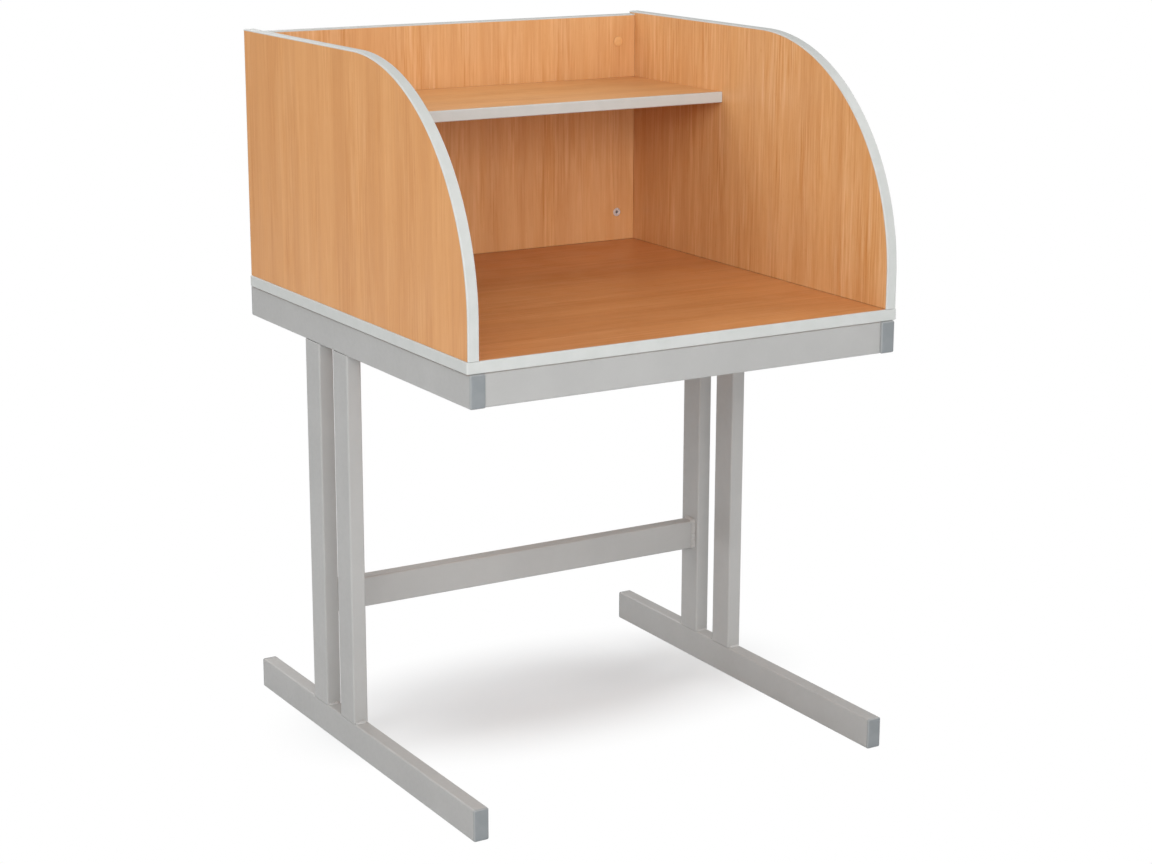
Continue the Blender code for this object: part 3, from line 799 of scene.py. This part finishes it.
def build_arm_screws(metal):
    """Pan-head screws that hold the desktop to the arms. The head is seen through a hole."""
    for side, _ in SIDES:
        for end in ("front", "rear"):
            node = f"{side}_arm_screw_{end}"
            low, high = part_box(node)
            radius, length = (high.x - low.x) / 2, high.z - low.z
            mesh = turned(
                [
                    (2.6 * MM, 0),
                    (3.6 * MM, 0.35 * MM),
                    (4.3 * MM, MM),
                    (radius, 1.7 * MM),
                    (radius, SCREW_HEAD),
                    (SCREW_CORE, SCREW_HEAD),
                    (SCREW_CORE, length - 2 * MM),
                    (SCREW_TIP, length),
                ]
            )
            bars = cross_recess(*SCREW_RECESS)
            for bar in bars:
                bar.transform(Matrix.Rotation(math.pi, 4, "X"))
            mesh = cut(mesh, bars)
            place = Matrix.Translation(((low.x + high.x) / 2, (low.y + high.y) / 2, low.z))
            add_piece(f"{node}_pan_head", mesh, metal, matrix=place, stands_for=[node])


# ---- CAD pieces that stay -------------------------------------------------------------------

# Each board's grain direction, its own piece of the pattern, its colour scale and the grain's
# contrast.
# The colour scale is partly the laminate's own colour and partly painted light and shade: the boards
# are one laminate, each scaled to the brightness it shows where it stands.
BOARDS = (
    ("desktop", "X", (3.1, 0.2, 0.0), (0.905, 0.788, 0.641), 1.1),
    ("shelf", "X", (0.7, 4.3, 2.0), (0.964, 1.00, 0.920), 1.1),
    ("back_panel", "Z", (5.2, 1.1, 0.4), (1.00, 1.109, 1.150), 1.0),
    ("left_side_panel", "Z", (1.9, 6.4, 3.3), (0.950, 0.930, 0.790), 0.8),
    ("right_side_panel", "Z", (7.7, 2.5, 1.2), (0.954, 1.05, 1.05), 1.5),
)


def finish_node(node, finish):
    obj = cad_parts[node]
    obj.data.materials.clear()
    obj.data.materials.append(finish)


def finish_kept_nodes(metal):
    for node, grain, shift, tint_and_painted_light, contrast in BOARDS:
        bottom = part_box(node)[0].z
        finish_node(node, beech(f"beech_{node}", grain, shift, tint_and_painted_light, contrast, bottom))
    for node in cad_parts:
        if "_bolt_" in node or "_panel_screw_" in node:
            finish_node(node, metal)


# ---- Studio ---------------------------------------------------------------------------------

AIM = Vector((0, 0, 0.6))
SOFTBOX_SIZE = 2.6
SOFTBOXES = (
    ("key_light", (-3.0, -3.2, 3.0), 92),
    ("front_light", (-1.0, -4.5, 1.8), 91),
    ("right_light", (3.8, 0, 2.0), 41),
    ("high_right_light", (3.2, -0.6, 3.4), 43),
    ("high_rear_left_light", (-3.0, 1.2, 3.2), 56),
    ("rear_light", (0, 3.8, 2.6), 40),
)
SKY_STRENGTH = 0.36
FLOOR_HALF = 30

# The clear patch in the film over the floor is an ellipse, in metres, smooth from clear to white.
# It gives the carrel's floor shadow its painted outline.
FILM_STRETCH = (1.0, 1.85, 1)
FILM_SHIFT = (-0.038, -0.195, 0)
FILM_CLEAR = 0.11
FILM_WHITE = 0.54
DRUM_BOTTOM = [(0.05, 0.2 * MM), (0.6, 0.2 * MM), (1.0, MM), (26, 25 * MM)]  # radius and height
DRUM_WALL = [(28.5, 0.7), (29.3, 3), (29.3, 12)]
DRUM_SEGMENTS = 96

SENSOR_WIDTH = 36
FOCAL_LENGTH = 76.06
CAMERA_PLACE = (-1.929, -3.2782, 1.4684)
CAMERA_TURNS = (-30.8154, -14.4769, 0.1394)  # left or right, up or down, and roll, in degrees


def softbox(name, place, power):
    """A large square light aimed at the middle of the carrel."""
    light = bpy.data.lights.new(name, "AREA")
    light.size = SOFTBOX_SIZE
    light.energy = power
    lamp = bpy.data.objects.new(name, light)
    bpy.context.scene.collection.objects.link(lamp)
    lamp.visible_camera = False
    lamp.location = place
    aim = AIM - Vector(place)
    lamp.rotation_euler = aim.to_track_quat("-Z", "Y").to_euler()


def build_studio():
    scene = bpy.context.scene
    scene.view_settings.view_transform = "Standard"
    world = bpy.data.worlds.new("studio")
    scene.world = world
    world.use_nodes = True
    background = world.node_tree.nodes["Background"]
    background.inputs["Color"].default_value = (1, 1, 1, 1)
    background.inputs["Strength"].default_value = SKY_STRENGTH
    for name, place, power in SOFTBOXES:
        softbox(name, place, power)
    corners = [(x * FLOOR_HALF, y * FLOOR_HALF) for x, y in ((-1, -1), (1, -1), (1, 1), (-1, 1))]
    mesh = loft([raised(corners, -20 * MM), raised(corners, 0)])
    floor = bpy.data.objects.new("floor", mesh)
    scene.collection.objects.link(floor)
    nodes = Nodes("floor", "none", 0.85, Specular_IOR_Level=0.2)
    tone = nodes.even(nodes.noise(0.8, 2))
    mesh.materials.append(nodes.finish(nodes.mix(tone, (0.70, 0.718, 0.732), (0.71, 0.728, 0.742))))


def build_backdrop():
    """A white drum round the whole studio, glowing though it is no lamp. Its bottom is a film just
    over the floor, clear under the middle of the carrel and white from half a metre out: it paints
    over the floor's shade, so the carrel's floor shadow has a painted outline. It is seen, and
    lights nothing."""
    mesh = loft([circle(r, z, DRUM_SEGMENTS) for r, z in DRUM_BOTTOM + DRUM_WALL])
    drum = bpy.data.objects.new("backdrop", mesh)
    bpy.context.scene.collection.objects.link(drum)
    drum.visible_diffuse = False
    drum.visible_glossy = False
    drum.visible_shadow = False
    nodes = Nodes("backdrop", "none", 1.0)
    # Painted shadow outline: the glowing white film hides the floor's shade outside this ellipse.
    distance = nodes.vector_math("LENGTH", nodes.mapping(FILM_STRETCH, FILM_SHIFT))["Value"]
    alpha = nodes.spread(distance, FILM_CLEAR, FILM_WHITE)
    nodes.link(alpha, nodes.shader.inputs["Alpha"])
    nodes.shader.inputs["Base Color"].default_value = (0, 0, 0, 1)
    nodes.shader.inputs["Specular IOR Level"].default_value = 0
    nodes.shader.inputs["Emission Color"].default_value = (1, 1, 1, 1)
    nodes.shader.inputs["Emission Strength"].default_value = 1.0
    drum.data.materials.append(nodes.material)


def place_camera():
    """A long lens from the user's left and a little above, looking down at the carrel."""
    lens = bpy.data.cameras.new("camera")
    lens.sensor_width = SENSOR_WIDTH
    lens.lens = FOCAL_LENGTH
    camera = bpy.data.objects.new("camera", lens)
    bpy.context.scene.collection.objects.link(camera)
    turn, tilt, roll = (math.radians(a) for a in CAMERA_TURNS)
    rotation = Matrix.Rotation(turn, 4, "Z") @ Matrix.Rotation(math.pi / 2 + tilt, 4, "X")
    rotation = rotation @ Matrix.Rotation(roll, 4, "Z")
    camera.matrix_world = Matrix.Translation(CAMERA_PLACE) @ rotation
    bpy.context.scene.camera = camera


paint, caps, strips = silver_paint(), grey_plastic(), edge_strip()
metal, covers = zinc(), cover_plastic()
place_camera()
build_frame(paint, caps)
build_welds(paint)
build_desktop_edging(strips)
build_panel_edging(strips)
build_straight_edging(strips)
build_fittings(metal, covers)
build_arm_screws(metal)
finish_kept_nodes(metal)
build_studio()
build_backdrop()
